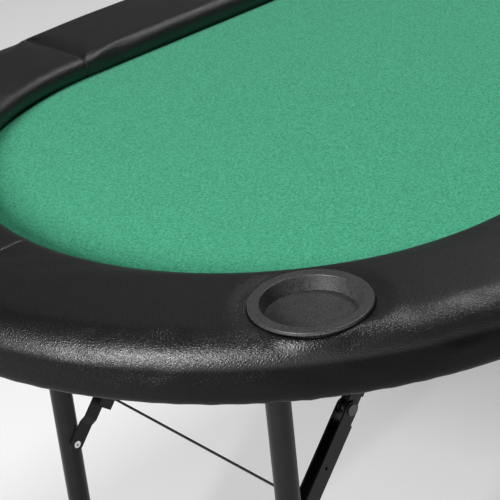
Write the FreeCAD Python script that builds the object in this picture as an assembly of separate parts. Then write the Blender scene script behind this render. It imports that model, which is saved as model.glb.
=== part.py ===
import FreeCAD, Part
import math
import os

from FreeCAD import Vector

os.makedirs("parts", exist_ok=True)

# An oval poker table for eight players, on two folding leg frames.
# Millimetres. The floor is z = 0, the table's middle is x = 0, y = 0 and
# the long side runs along X. "Front" is the -Y side and "left" the -X end.

# Overall sizes
TABLE_LENGTH = 1829.0
TABLE_WIDTH = 914.0
TABLE_HEIGHT = 737.0

# Padded rail, measured from the table's outer edge and from the felt
RAIL_HEIGHT = 27.0
RAIL_WIDTH = 131.0
RAIL_OVERHANG = 8.0
RAIL_OUTER_ROUND = 20.0
RAIL_INNER_ROUND = 13.0
RAIL_LOWER_ROUND = 8.0
COVER_THICKNESS = 1.2
COVER_HEM = 32.0

# Layers of the top
FELT_THICKNESS = 1.5
UNDERLAY_THICKNESS = 5.0
BOARD_THICKNESS = 12.0
EDGE_FRAME_THICKNESS = 12.0
EDGE_FRAME_WIDTH = 90.0
RAIL_BOARD_THICKNESS = 15.0
EDGE_PADDING = 10.0
FELT_TUCK = 12.0

# Drop-in cup holders
CUP_MOUTH_RADIUS = 44.0
CUP_RIM_WIDTH = 10.8
CUP_TAPER = 2.5
CUP_DEPTH = 14.0
CUP_RIM_THICKNESS = 3.2
CUP_WALL = 1.8
CUP_LIP_ROUND = 1.4
CUP_HOLE_CLEARANCE = 0.5
CUP_POCKET_HEIGHT = 40.0
CUP_INSET = 65.0
CUP_END_ANGLE = 50.6
CUP_SIDE_OFFSET = 190.0

# Folding leg frames
LEG_RADIUS = 12.7
TUBE_WALL = 1.2
LEG_OUTBOARD = 197.0
LEG_HALF_SPREAD = 188.0
LEG_TOP_STUB = 14.0
HINGE_DROP = 42.0
CROSS_TUBE_RADIUS = 9.5
CROSS_TUBE_HEIGHT = 118.0
FOOT_RADIUS = 15.0
FOOT_HEIGHT = 28.0
FOOT_FLOOR = 4.0
FOOT_ROUND = 1.6

# Folding braces: a lower link on each leg and an upper link on the top
RIVET_DOWN = 293.0
BRACE_REACH = 253.0
LINK_THICKNESS = 2.0
LINK_WIDTH = 15.0
LINK_EDGE = 9.0
LINK_WEB = 11.5
LINK_SIDE_GAP = 0.4
LEG_SIDE_GAP = 0.3
TONGUE_RADIUS = 9.5
JOGGLE_START = 26.0
JOGGLE_LENGTH = 8.0
JOGGLE_STEP = 3.5
CHANNEL_START = 52.0
WEB_CUTBACK = 16.0
LINK_HOLE_RADIUS = 2.0
LINK_HOLE_DISTANCE = 108.0
TIE_ROD_RADIUS = 1.5
TIE_ROD_DISTANCE = 67.0
PIN_RADIUS = 4.0
PIN_CLEARANCE = 0.06
PIN_HEAD_RADIUS = 6.5
PIN_HEAD = 1.4
SLEEVE_WALL = 2.5
SLEEVE_GAP = 0.3
RIVET_RADIUS = 3.0
RIVET_HEAD_RADIUS = 4.4
RIVET_HEAD = 1.3
RIVET_BORE = 1.7

# Brackets and fasteners
HINGE_BRACKET_SPREAD = 145.0
HINGE_BRACKET_LENGTH = 50.0
BRACKET_THICKNESS = 3.0
BRACKET_FLANGE = 28.0
BRACKET_EDGE = 8.0
BRACKET_SCREW_LINE = 16.8
BRACE_BRACKET_LENGTH = 30.0
BRACE_BRACKET_GAP = 0.5
BRACE_BRACKET_WING = 18.0
SCREW_RADIUS = 2.0
SCREW_HEAD_RADIUS = 4.2
SCREW_HEAD = 2.2
SCREW_HEAD_ROUND = 1.3
SCREW_LENGTH = 13.0
RAIL_SCREW_LENGTH = 34.0
RAIL_SCREW_INSET = 56.0
RAIL_SCREWS_PER_PIECE = 4
STAPLE_LENGTH = 10.0
STAPLE_WIDTH = 1.2
STAPLE_HEIGHT = 0.8
STAPLE_PITCH = 36.0
STAPLE_FROM_BEND = 22.4

# Derived sizes
OUTER_RADIUS = TABLE_WIDTH / 2
HALF_STRAIGHT = (TABLE_LENGTH - TABLE_WIDTH) / 2
FELT_TOP = TABLE_HEIGHT - RAIL_HEIGHT
BOARD_TOP = FELT_TOP - FELT_THICKNESS - UNDERLAY_THICKNESS
BOARD_BOTTOM = BOARD_TOP - BOARD_THICKNESS
FRAME_BOTTOM = BOARD_BOTTOM - EDGE_FRAME_THICKNESS
RAIL_BOTTOM = FRAME_BOTTOM - COVER_THICKNESS
BOARD_RADIUS = OUTER_RADIUS - EDGE_PADDING
FOOT_LINE_RADIUS = OUTER_RADIUS - RAIL_WIDTH
FELT_RADIUS = FOOT_LINE_RADIUS + FELT_TUCK
RAIL_BOARD_TOP = BOARD_TOP + RAIL_BOARD_THICKNESS
CUP_RIM_RADIUS = CUP_MOUTH_RADIUS + CUP_RIM_WIDTH
CUP_FLOOR_RADIUS = CUP_MOUTH_RADIUS - CUP_TAPER
CUP_CENTRE_RADIUS = OUTER_RADIUS - CUP_INSET
CUP_TOP = TABLE_HEIGHT + CUP_RIM_THICKNESS
CUP_FLOOR = CUP_TOP - CUP_DEPTH
CUP_BOTTOM = CUP_FLOOR - CUP_WALL
HINGE_X = -(HALF_STRAIGHT + LEG_OUTBOARD)
HINGE_Z = BOARD_BOTTOM - HINGE_DROP
BRACE_LENGTH = math.hypot(RIVET_DOWN, BRACE_REACH)
LOWER_LINK = (BRACE_LENGTH - (RIVET_DOWN - BRACE_REACH)) / 2
UPPER_LINK = (BRACE_LENGTH + (RIVET_DOWN - BRACE_REACH)) / 2
BRACE_ANGLE = math.degrees(math.atan2(RIVET_DOWN, BRACE_REACH))

# Planes across the brace, as distances from the table's long middle line
LEG_FACE = LEG_HALF_SPREAD - LEG_RADIUS
TONGUE_OUT = LEG_FACE - LEG_SIDE_GAP
TONGUE_IN = TONGUE_OUT - LINK_THICKNESS
LOWER_OUT = TONGUE_OUT - JOGGLE_STEP
LOWER_IN = LOWER_OUT - LINK_WIDTH
UPPER_OUT = LOWER_OUT - LINK_THICKNESS - LINK_SIDE_GAP
UPPER_IN = LOWER_IN + LINK_THICKNESS + LINK_SIDE_GAP

X_AXIS = Vector(1, 0, 0)
Y_AXIS = Vector(0, 1, 0)
Z_AXIS = Vector(0, 0, 1)
ORIGIN = Vector(0, 0, 0)

END_PIECES = {
    "right_front": (1, -90.0),
    "right_back": (1, 0.0),
    "left_back": (-1, 90.0),
    "left_front": (-1, 180.0),
}
SIDE_PIECES = {"front": -90.0, "back": 90.0}


def save(shape, node):
    shape.exportStep("parts/" + node + ".step")


def group(shapes):
    return Part.makeCompound(shapes)


def line(a, b):
    return Part.LineSegment(a, b).toShape()


def arc(centre, radius, start, end):
    """An arc in the plane y = 0, its angles in degrees from +X towards +Z."""
    points = []
    for angle in (start, (start + end) / 2, end):
        turn = math.radians(angle)
        offset = Vector(radius * math.cos(turn), 0, radius * math.sin(turn))
        points.append(centre + offset)
    return Part.Arc(*points).toShape()


def face_of(edges):
    return Part.Face(Part.Wire(edges))


def polygon(points):
    return Part.Face(Part.makePolygon(points + [points[0]]))


def box(low, high):
    size = high - low
    return Part.makeBox(size.x, size.y, size.z, low)


def rod(radius, start, end):
    axis = end - start
    return Part.makeCylinder(radius, axis.Length, start, axis)


# The rail


def rail_skin(inset):
    """The rail's outline, from its foot on the felt over the crown to the
    underside, moved inwards by inset. Edges in the plane y = 0."""
    crown_edge = FOOT_LINE_RADIUS - RAIL_OVERHANG
    inner = Vector(crown_edge + RAIL_INNER_ROUND, 0, TABLE_HEIGHT - RAIL_INNER_ROUND)
    outer = Vector(OUTER_RADIUS - RAIL_OUTER_ROUND, 0, TABLE_HEIGHT - RAIL_OUTER_ROUND)
    lower = Vector(OUTER_RADIUS - RAIL_LOWER_ROUND, 0, RAIL_BOTTOM + RAIL_LOWER_ROUND)
    inner_round = RAIL_INNER_ROUND - inset
    outer_round = RAIL_OUTER_ROUND - inset
    lower_round = RAIL_LOWER_ROUND - inset

    to_foot = Vector(FOOT_LINE_RADIUS, 0, FELT_TOP) - inner
    lean = math.degrees(math.acos(RAIL_INNER_ROUND / to_foot.Length))
    tangent_angle = math.degrees(math.atan2(to_foot.z, to_foot.x)) % 360 - lean
    turn = math.radians(tangent_angle)
    normal = Vector(math.cos(turn), 0, math.sin(turn))
    touch = inner + normal * inner_round
    fall = Vector(-normal.z, 0, normal.x)
    foot = touch + fall * ((FELT_TOP - touch.z) / fall.z)

    crown_start = inner + Z_AXIS * inner_round
    crown_end = outer + Z_AXIS * outer_round
    side_top = outer + X_AXIS * outer_round
    side_bottom = lower + X_AXIS * lower_round
    return [
        line(foot, touch),
        arc(inner, inner_round, tangent_angle, 90),
        line(crown_start, crown_end),
        arc(outer, outer_round, 90, 0),
        line(side_top, side_bottom),
        arc(lower, lower_round, 0, -90),
    ]


def ends_of(edges):
    first = edges[0].valueAt(edges[0].FirstParameter)
    last = edges[-1].valueAt(edges[-1].LastParameter)
    return first, last


def closed_through(edges, points):
    """A face bounded by a chain of edges and by straight runs through points
    from the chain's end back to its start."""
    first, last = ends_of(edges)
    corners = [last] + points + [first]
    runs = [line(a, b) for a, b in zip(corners, corners[1:]) if (b - a).Length > 1e-6]
    return face_of(edges + runs)


def cover_section():
    outside = rail_skin(0)
    inside = rail_skin(COVER_THICKNESS)
    hem_end = OUTER_RADIUS - RAIL_LOWER_ROUND - COVER_HEM
    filled = closed_through(
        outside,
        [Vector(hem_end, 0, RAIL_BOTTOM), Vector(hem_end, 0, FELT_TOP)],
    )
    hollow = closed_through(
        inside,
        [Vector(hem_end - 1, 0, FRAME_BOTTOM), Vector(hem_end - 1, 0, FELT_TOP)],
    )
    return filled.cut(hollow).Faces[0]


def foam_section():
    inside = rail_skin(COVER_THICKNESS)
    return closed_through(
        inside,
        [
            Vector(BOARD_RADIUS, 0, FRAME_BOTTOM),
            Vector(BOARD_RADIUS, 0, RAIL_BOARD_TOP),
            Vector(FELT_RADIUS, 0, RAIL_BOARD_TOP),
            Vector(FELT_RADIUS, 0, FELT_TOP),
        ],
    )


def flat_section(inner, outer, bottom, top):
    low = [Vector(inner, 0, bottom), Vector(outer, 0, bottom)]
    high = [Vector(outer, 0, top), Vector(inner, 0, top)]
    return polygon(low + high)


def end_piece(section, end, start_angle):
    """A section turned through a quarter of one round end."""
    quarter = section.revolve(ORIGIN, Z_AXIS, 90)
    quarter.rotate(ORIGIN, Z_AXIS, start_angle)
    quarter.translate(X_AXIS * (end * HALF_STRAIGHT))
    return quarter


def side_piece(section, angle):
    """A section drawn along one straight side."""
    turned = section.copy()
    turned.rotate(ORIGIN, Z_AXIS, angle)
    turned.translate(X_AXIS * -HALF_STRAIGHT)
    return turned.extrude(X_AXIS * (2 * HALF_STRAIGHT))


def rail_pieces(section):
    pieces = {}
    for name, (end, start_angle) in END_PIECES.items():
        pieces[name] = end_piece(section, end, start_angle)
    for name, angle in SIDE_PIECES.items():
        pieces[name] = side_piece(section, angle)
    return pieces


def oval_plate(radius, bottom, top):
    middle = box(Vector(-HALF_STRAIGHT, -radius, bottom), Vector(HALF_STRAIGHT, radius, top))
    for end in (-1, 1):
        centre = Vector(end * HALF_STRAIGHT, 0, bottom)
        middle = middle.fuse(Part.makeCylinder(radius, top - bottom, centre))
    return middle.removeSplitter()


def along_oval(radius, distance):
    """The point at a distance round an oval, and the direction of travel there.
    It starts at the left end of the front side and goes round to the right."""
    straight = 2 * HALF_STRAIGHT
    half_turn = math.pi * radius
    distance = distance % (2 * (straight + half_turn))
    if distance < straight:
        return Vector(distance - HALF_STRAIGHT, -radius, 0), 0.0
    distance -= straight
    if distance < half_turn:
        turn = distance / radius
        across = Vector(radius * math.sin(turn), -radius * math.cos(turn), 0)
        return across + X_AXIS * HALF_STRAIGHT, math.degrees(turn)
    distance -= half_turn
    if distance < straight:
        return Vector(HALF_STRAIGHT - distance, radius, 0), 180.0
    turn = (distance - straight) / radius
    across = Vector(-radius * math.sin(turn), radius * math.cos(turn), 0)
    return across - X_AXIS * HALF_STRAIGHT, 180.0 + math.degrees(turn)


# Cup holders


def cup_places():
    """Two cups on each straight side and one on each quarter of the ends."""
    places = []
    across = CUP_CENTRE_RADIUS * math.sin(math.radians(CUP_END_ANGLE))
    along = HALF_STRAIGHT + CUP_CENTRE_RADIUS * math.cos(math.radians(CUP_END_ANGLE))
    for side in (-1, 1):
        places.append(Vector(-along, side * across, 0))
        places.append(Vector(-CUP_SIDE_OFFSET, side * CUP_CENTRE_RADIUS, 0))
        places.append(Vector(CUP_SIDE_OFFSET, side * CUP_CENTRE_RADIUS, 0))
        places.append(Vector(along, side * across, 0))
    return places


def cup_holder(place):
    """A dished cup with a flat rim, its inner and outer lips rounded."""
    lip = CUP_LIP_ROUND
    slope = math.degrees(math.atan2(CUP_TAPER, CUP_DEPTH))
    outer_lip = Vector(CUP_RIM_RADIUS - lip, 0, CUP_TOP - lip)
    inner_lip = Vector(CUP_MOUTH_RADIUS + lip, 0, CUP_TOP - lip)
    inner_turn = 180 + slope
    turn = math.radians(inner_turn)
    wall_top = inner_lip + Vector(math.cos(turn), 0, math.sin(turn)) * lip
    rim_top = [outer_lip + Z_AXIS * lip, inner_lip + Z_AXIS * lip]
    underneath = [
        Vector(0, 0, CUP_BOTTOM),
        Vector(CUP_FLOOR_RADIUS + CUP_WALL, 0, CUP_BOTTOM),
        Vector(CUP_MOUTH_RADIUS + CUP_WALL, 0, TABLE_HEIGHT),
        Vector(CUP_RIM_RADIUS, 0, TABLE_HEIGHT),
        outer_lip + X_AXIS * lip,
    ]
    inside = [wall_top, Vector(CUP_FLOOR_RADIUS, 0, CUP_FLOOR), Vector(0, 0, CUP_FLOOR), underneath[0]]
    edges = [line(a, b) for a, b in zip(underneath, underneath[1:])]
    edges += [arc(outer_lip, lip, 0, 90), line(*rim_top), arc(inner_lip, lip, 90, inner_turn)]
    edges += [line(a, b) for a, b in zip(inside, inside[1:])]
    holder = face_of(edges).revolve(ORIGIN, Z_AXIS, 360)
    holder.translate(place)
    return holder


def cup_pocket(place):
    radius = CUP_MOUTH_RADIUS + CUP_WALL + CUP_HOLE_CLEARANCE
    start = place + Z_AXIS * CUP_BOTTOM
    return Part.makeCylinder(radius, CUP_POCKET_HEIGHT, start)


def with_cup_pockets(piece, places):
    for place in places:
        pocket = cup_pocket(place)
        if piece.BoundBox.intersect(pocket.BoundBox):
            piece = piece.cut(pocket)
    return piece.Solids[0]


# Fasteners


def screw(place, head_bottom, length):
    """A pan-head screw driven upwards. head_bottom is where its head sits."""
    seat = Vector(place.x, place.y, head_bottom)
    face = seat - Z_AXIS * SCREW_HEAD
    head = rod(SCREW_HEAD_RADIUS, face, seat)
    rim = [edge for edge in head.Edges if edge.isClosed() and edge.CenterOfMass.isEqual(face, 0.1)]
    head = head.makeFillet(SCREW_HEAD_ROUND, rim)
    return head.fuse(rod(SCREW_RADIUS, seat, seat + Z_AXIS * length)).removeSplitter()


def screw_hole(place, bottom, top):
    return rod(SCREW_RADIUS, Vector(place.x, place.y, bottom), Vector(place.x, place.y, top))


def drilled_for_rail_screws(piece, places):
    for place in places:
        hole = screw_hole(place, FRAME_BOTTOM, FRAME_BOTTOM + RAIL_SCREW_LENGTH)
        if piece.BoundBox.intersect(hole.BoundBox):
            piece = piece.cut(hole)
    return piece.Solids[0]


def rail_screw_places():
    """The same number of screws under each board of the rail."""
    radius = OUTER_RADIUS - RAIL_SCREW_INSET
    quarter = math.pi * radius / 2
    straight = 2 * HALF_STRAIGHT
    places = []
    start = 0.0
    for length in (straight, quarter, quarter, straight, quarter, quarter):
        for step in range(RAIL_SCREWS_PER_PIECE):
            distance = start + length * (step + 0.5) / RAIL_SCREWS_PER_PIECE
            places.append(along_oval(radius, distance)[0])
        start += length
    return places


def staples():
    """The staples that hold the cover's hem to the underside of the board."""
    radius = OUTER_RADIUS - RAIL_LOWER_ROUND - STAPLE_FROM_BEND
    length = 4 * HALF_STRAIGHT + 2 * math.pi * radius
    count = round(length / STAPLE_PITCH)
    made = []
    for step in range(count):
        place, heading = along_oval(radius, (step + 0.5) * length / count)
        crown = box(
            Vector(-STAPLE_LENGTH / 2, -STAPLE_WIDTH / 2, RAIL_BOTTOM - STAPLE_HEIGHT),
            Vector(STAPLE_LENGTH / 2, STAPLE_WIDTH / 2, RAIL_BOTTOM),
        )
        crown.rotate(ORIGIN, Z_AXIS, heading)
        crown.translate(place)
        made.append(crown)
    return group(made)


# The folding legs, made for the left end with the hinge axis at HINGE_X,
# HINGE_Z. The right end is the same turned half round.


def hinge_point(side_y):
    return Vector(HINGE_X, side_y, HINGE_Z)


def leg_tube(side):
    """One upright, closed at its top and drilled for the brace rivet."""
    y = side * LEG_HALF_SPREAD
    bottom = Vector(HINGE_X, y, FOOT_FLOOR)
    top = Vector(HINGE_X, y, HINGE_Z + LEG_TOP_STUB)
    outside = rod(LEG_RADIUS, bottom, top)
    bore = rod(LEG_RADIUS - TUBE_WALL, bottom, top - Z_AXIS * TUBE_WALL)
    return outside.cut(bore).cut(rivet_hole(side))


def rivet_place():
    return Vector(HINGE_X, 0, HINGE_Z - RIVET_DOWN)


def rivet_hole(side):
    start = rivet_place() + Y_AXIS * (side * TONGUE_IN)
    end = rivet_place() + Y_AXIS * (side * (LEG_HALF_SPREAD + 2 * LEG_RADIUS))
    return rod(RIVET_RADIUS, start, end)


def between_legs(radius, place):
    """A tube from leg to leg, its ends cut to the legs' round sides."""
    start = place - Y_AXIS * LEG_HALF_SPREAD
    end = place + Y_AXIS * LEG_HALF_SPREAD
    tube = rod(radius, start, end).cut(rod(radius - TUBE_WALL, start, end))
    for side in (-1, 1):
        foot = Vector(HINGE_X, side * LEG_HALF_SPREAD, 0)
        tube = tube.cut(Part.makeCylinder(LEG_RADIUS, TABLE_HEIGHT, foot))
    return max(tube.Solids, key=lambda solid: solid.Volume)


def foot_cap(side):
    place = Vector(HINGE_X, side * LEG_HALF_SPREAD, 0)
    cap = rod(FOOT_RADIUS, place, place + Z_AXIS * FOOT_HEIGHT)
    cap = cap.makeFillet(FOOT_ROUND, cap.Edges)
    return cap.cut(rod(LEG_RADIUS, place + Z_AXIS * FOOT_FLOOR, place + Z_AXIS * FOOT_HEIGHT))


def leg_rivet(side):
    """The rivet's shank through the leg and its rounded tail on the outside."""
    inner = rivet_place() + Y_AXIS * (side * LEG_FACE)
    outer = rivet_place() + Y_AXIS * (side * (LEG_HALF_SPREAD + LEG_RADIUS))
    tail = rod(RIVET_HEAD_RADIUS, outer, outer + Y_AXIS * (side * RIVET_HEAD))
    return rod(RIVET_RADIUS, inner, outer).fuse(tail)


# The brackets


def hinge_bracket(side):
    """An angle of plate: a flange under the board, and an ear that the hinge
    tube turns in. The flange points to the table's long middle line."""
    y = side * HINGE_BRACKET_SPREAD
    half = HINGE_BRACKET_LENGTH / 2
    ear_radius = LEG_RADIUS + BRACKET_EDGE
    outline = face_of(
        [
            line(Vector(-half, 0, HINGE_DROP), Vector(-ear_radius, 0, 0)),
            arc(ORIGIN, ear_radius, 180, 360),
            line(Vector(ear_radius, 0, 0), Vector(half, 0, HINGE_DROP)),
            line(Vector(half, 0, HINGE_DROP), Vector(-half, 0, HINGE_DROP)),
        ]
    )
    ear = outline.extrude(Y_AXIS * BRACKET_THICKNESS)
    ear.translate(hinge_point(y - BRACKET_THICKNESS / 2))
    flange_y = sorted((y, y - side * BRACKET_FLANGE))
    flange = box(
        Vector(HINGE_X - half, flange_y[0], BOARD_BOTTOM - BRACKET_THICKNESS),
        Vector(HINGE_X + half, flange_y[1], BOARD_BOTTOM),
    )
    bore_ends = [hinge_point(y - BRACKET_FLANGE), hinge_point(y + BRACKET_FLANGE)]
    bore = rod(LEG_RADIUS + PIN_CLEARANCE, *bore_ends)
    bracket = ear.fuse(flange).removeSplitter().cut(bore)
    for place in hinge_screw_places(side):
        bracket = bracket.cut(screw_hole(place, BOARD_BOTTOM - HINGE_DROP, BOARD_BOTTOM))
    return bracket


def hinge_screw_places(side):
    y = side * (HINGE_BRACKET_SPREAD - BRACKET_SCREW_LINE)
    offset = HINGE_BRACKET_LENGTH / 2 - BRACKET_EDGE
    return [Vector(HINGE_X - offset, y, 0), Vector(HINGE_X + offset, y, 0)]


def brace_pivot(y):
    return Vector(HINGE_X + BRACE_REACH, y, HINGE_Z)


def brace_bracket(side):
    """A hat of plate: two ears outside the upper link, joined under the board
    by wings that take the screws."""
    half = BRACE_BRACKET_LENGTH / 2
    ear_radius = PIN_RADIUS + BRACKET_EDGE
    ears = []
    inner_plane = UPPER_IN - BRACE_BRACKET_GAP
    outer_plane = UPPER_OUT + BRACE_BRACKET_GAP
    for low in (inner_plane - BRACKET_THICKNESS, outer_plane):
        outline = face_of(
            [
                line(Vector(-half, 0, HINGE_DROP), Vector(-ear_radius, 0, 0)),
                arc(ORIGIN, ear_radius, 180, 360),
                line(Vector(ear_radius, 0, 0), Vector(half, 0, HINGE_DROP)),
                line(Vector(half, 0, HINGE_DROP), Vector(-half, 0, HINGE_DROP)),
            ]
        )
        ear = outline.extrude(Y_AXIS * BRACKET_THICKNESS)
        ear.translate(brace_pivot(low))
        ears.append(ear)
    plate = box(
        Vector(brace_pivot(0).x - half, inner_plane - BRACE_BRACKET_WING, BOARD_BOTTOM - BRACKET_THICKNESS),
        Vector(brace_pivot(0).x + half, outer_plane + BRACE_BRACKET_WING, BOARD_BOTTOM),
    )
    bracket = plate.fuse(ears[0]).fuse(ears[1]).removeSplitter()
    pin_ends = [brace_pivot(LOWER_IN - LINK_WIDTH), brace_pivot(LEG_HALF_SPREAD)]
    bracket = bracket.cut(rod(PIN_RADIUS, *pin_ends))
    if side < 0:
        bracket = bracket.mirror(ORIGIN, Y_AXIS)
    for place in brace_screw_places(side):
        bracket = bracket.cut(screw_hole(place, BOARD_BOTTOM - HINGE_DROP, BOARD_BOTTOM))
    return bracket


def brace_screw_places(side):
    middle = BRACE_BRACKET_WING / 2
    inner = UPPER_IN - BRACE_BRACKET_GAP - BRACKET_THICKNESS / 2 - middle
    outer = UPPER_OUT + BRACE_BRACKET_GAP + BRACKET_THICKNESS / 2 + middle
    return [Vector(brace_pivot(0).x, side * inner, 0), Vector(brace_pivot(0).x, side * outer, 0)]


def brace_pin(side):
    """The headed pin across one brace bracket."""
    low = UPPER_IN - BRACE_BRACKET_GAP - BRACKET_THICKNESS
    high = UPPER_OUT + BRACE_BRACKET_GAP + BRACKET_THICKNESS
    return headed_pin(low, high, brace_pivot, side)


def headed_pin(low, high, at, side):
    pin = rod(PIN_RADIUS, at(side * low), at(side * high))
    inner_head = rod(PIN_HEAD_RADIUS, at(side * low), at(side * (low - PIN_HEAD)))
    outer_head = rod(PIN_HEAD_RADIUS, at(side * high), at(side * (high + PIN_HEAD)))
    return pin.fuse(inner_head).fuse(outer_head).removeSplitter()


# The brace links. Each is made along +X from its lower pivot, with its web on
# the -Z side, then turned up to the brace's angle. They are made for the back
# leg and mirrored for the front one.


def side_outline(start, end, low, high, start_round, end_round):
    """The side view of a plate with optional round ends, as a solid that is
    wide enough to cut any of the link's plates from."""
    middle = (low + high) / 2
    half = (high - low) / 2
    blank = box(Vector(start, 0, low), Vector(end, TABLE_WIDTH, high))
    for x, rounded in ((start, start_round), (end, end_round)):
        if rounded:
            blank = blank.fuse(rod(half, Vector(x, 0, middle), Vector(x, TABLE_WIDTH, middle)))
    return blank.removeSplitter()


def turned_up(shape, pivot, side):
    shape.rotate(ORIGIN, Y_AXIS, -BRACE_ANGLE)
    if side < 0:
        shape = shape.mirror(ORIGIN, Y_AXIS)
    shape.translate(Vector(pivot.x, 0, pivot.z))
    return shape


def cross_hole(radius, x, low_y, high_y):
    return rod(radius, Vector(x, low_y, 0), Vector(x, high_y, 0))


def lower_link(side):
    """A flat tongue on the leg, stepped in clear of it, that becomes a channel
    up to the knee."""
    step_end = JOGGLE_START + JOGGLE_LENGTH
    reach = LOWER_LINK + LINK_WEB
    path = polygon(
        [
            Vector(-reach, TONGUE_IN, 0),
            Vector(JOGGLE_START, TONGUE_IN, 0),
            Vector(step_end, LOWER_OUT - LINK_THICKNESS, 0),
            Vector(reach, LOWER_OUT - LINK_THICKNESS, 0),
            Vector(reach, LOWER_OUT, 0),
            Vector(step_end, LOWER_OUT, 0),
            Vector(JOGGLE_START, TONGUE_OUT, 0),
            Vector(-reach, TONGUE_OUT, 0),
        ]
    )
    strip = path.extrude(Z_AXIS * (4 * LINK_WEB))
    strip.translate(Z_AXIS * (-2 * LINK_WEB))
    tongue_low = LINK_EDGE - 2 * TONGUE_RADIUS
    tongue = side_outline(0, CHANNEL_START, tongue_low, LINK_EDGE, True, False)
    knee = side_outline(LOWER_LINK - WEB_CUTBACK, LOWER_LINK, -LINK_EDGE, LINK_EDGE, False, True)
    deep = side_outline(CHANNEL_START, LOWER_LINK - WEB_CUTBACK, -LINK_WEB, LINK_EDGE, False, False)
    outer_plate = strip.common(tongue.fuse(deep).fuse(knee).removeSplitter())

    inner_slab = box(
        Vector(0, LOWER_IN, -2 * LINK_WEB),
        Vector(reach, LOWER_IN + LINK_THICKNESS, 2 * LINK_WEB),
    )
    inner_plate = inner_slab.common(deep.fuse(knee).removeSplitter())
    web = box(
        Vector(CHANNEL_START, LOWER_IN, -LINK_WEB),
        Vector(LOWER_LINK - WEB_CUTBACK, LOWER_OUT, LINK_THICKNESS - LINK_WEB),
    )
    link = outer_plate.fuse(inner_plate).fuse(web).removeSplitter()
    link = link.cut(cross_hole(RIVET_RADIUS, 0, LOWER_IN, LEG_FACE))
    link = link.cut(cross_hole(PIN_RADIUS, LOWER_LINK, LOWER_IN - LINK_WIDTH, LEG_FACE))
    link = link.cut(cross_hole(LINK_HOLE_RADIUS, LINK_HOLE_DISTANCE, UPPER_OUT, LEG_FACE))
    return turned_up(link.Solids[0], rivet_place(), side)


def knee_point(y):
    turn = math.radians(BRACE_ANGLE)
    place = rivet_place() + Vector(math.cos(turn), 0, math.sin(turn)) * LOWER_LINK
    return Vector(place.x, y, place.z)


def upper_link(side):
    """A narrower channel from the knee to the bracket. It folds into the lower one."""
    flanges = side_outline(0, UPPER_LINK, -LINK_EDGE, LINK_EDGE, True, True)
    deep = side_outline(WEB_CUTBACK, UPPER_LINK - WEB_CUTBACK, -LINK_WEB, LINK_EDGE, False, False)
    profile = flanges.fuse(deep).removeSplitter()
    reach = UPPER_LINK + LINK_WEB
    plates = []
    for low in (UPPER_IN, UPPER_OUT - LINK_THICKNESS):
        slab_low = Vector(-LINK_WEB, low, -2 * LINK_WEB)
        slab_high = Vector(reach, low + LINK_THICKNESS, 2 * LINK_WEB)
        plates.append(box(slab_low, slab_high).common(profile))
    web = box(
        Vector(WEB_CUTBACK, UPPER_IN, -LINK_WEB),
        Vector(UPPER_LINK - WEB_CUTBACK, UPPER_OUT, LINK_THICKNESS - LINK_WEB),
    )
    link = plates[0].fuse(plates[1]).fuse(web).removeSplitter()
    for x in (0, UPPER_LINK):
        link = link.cut(cross_hole(PIN_RADIUS + PIN_CLEARANCE, x, LOWER_IN, LEG_FACE))
    return turned_up(link.Solids[0], knee_point(0), side)


def knee_pin(side):
    return headed_pin(LOWER_IN, LOWER_OUT, knee_point, side)


def knee_sleeve(side):
    """The spacer on the knee pin, between the upper link's two sides."""
    low = UPPER_IN + LINK_THICKNESS + SLEEVE_GAP
    high = UPPER_OUT - LINK_THICKNESS - SLEEVE_GAP
    sleeve = rod(PIN_RADIUS + SLEEVE_WALL, knee_point(side * low), knee_point(side * high))
    return sleeve.cut(rod(PIN_RADIUS, knee_point(side * low), knee_point(side * high)))


def brace_rivet(side):
    """The rivet's head on the tongue, hollow in the middle, with its stub
    through the tongue."""
    place = rivet_place()
    face = place + Y_AXIS * (side * TONGUE_IN)
    back = place + Y_AXIS * (side * TONGUE_OUT)
    front = place + Y_AXIS * (side * (TONGUE_IN - RIVET_HEAD))
    head = rod(RIVET_HEAD_RADIUS, front, face)
    bore = rod(RIVET_BORE, front, face)
    return head.fuse(rod(RIVET_RADIUS, face, back)).cut(bore)


def tie_rod():
    """The thin rod that makes the two lower links of one end fold together."""
    turn = math.radians(BRACE_ANGLE)
    place = rivet_place() + Vector(math.cos(turn), 0, math.sin(turn)) * TIE_ROD_DISTANCE
    return rod(TIE_ROD_RADIUS, place - Y_AXIS * LOWER_IN, place + Y_AXIS * LOWER_IN)


def at_end(shape, end):
    """The left end's piece, or the same turned half round for the right end."""
    if end == "right":
        shape = shape.copy()
        shape.rotate(ORIGIN, Z_AXIS, 180)
    return shape


def both(make):
    return [make(-1), make(1)]


def screws_at(places, seat, length):
    return [screw(place, seat, length) for place in places]


def turned_places(places):
    return places + [Vector(-place.x, -place.y, 0) for place in places]


# The top

cups = cup_places()
bracket_places = []
for side in (-1, 1):
    bracket_places += hinge_screw_places(side) + brace_screw_places(side)
bracket_places = turned_places(bracket_places)
rail_places = rail_screw_places()

base_board = oval_plate(BOARD_RADIUS, BOARD_BOTTOM, BOARD_TOP)
screw_tip = BOARD_BOTTOM - BRACKET_THICKNESS + SCREW_LENGTH
for place in bracket_places:
    base_board = base_board.cut(screw_hole(place, BOARD_BOTTOM, screw_tip))
save(drilled_for_rail_screws(base_board, rail_places), "base_board")

frame_inner = BOARD_RADIUS - EDGE_FRAME_WIDTH
for section, node in (
    (flat_section(frame_inner, BOARD_RADIUS, FRAME_BOTTOM, BOARD_BOTTOM), "edge_frame"),
    (flat_section(FELT_RADIUS, BOARD_RADIUS, BOARD_TOP, RAIL_BOARD_TOP), "rail_boards"),
):
    pieces = [drilled_for_rail_screws(piece, rail_places) for piece in rail_pieces(section).values()]
    save(group(pieces), node)

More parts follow.
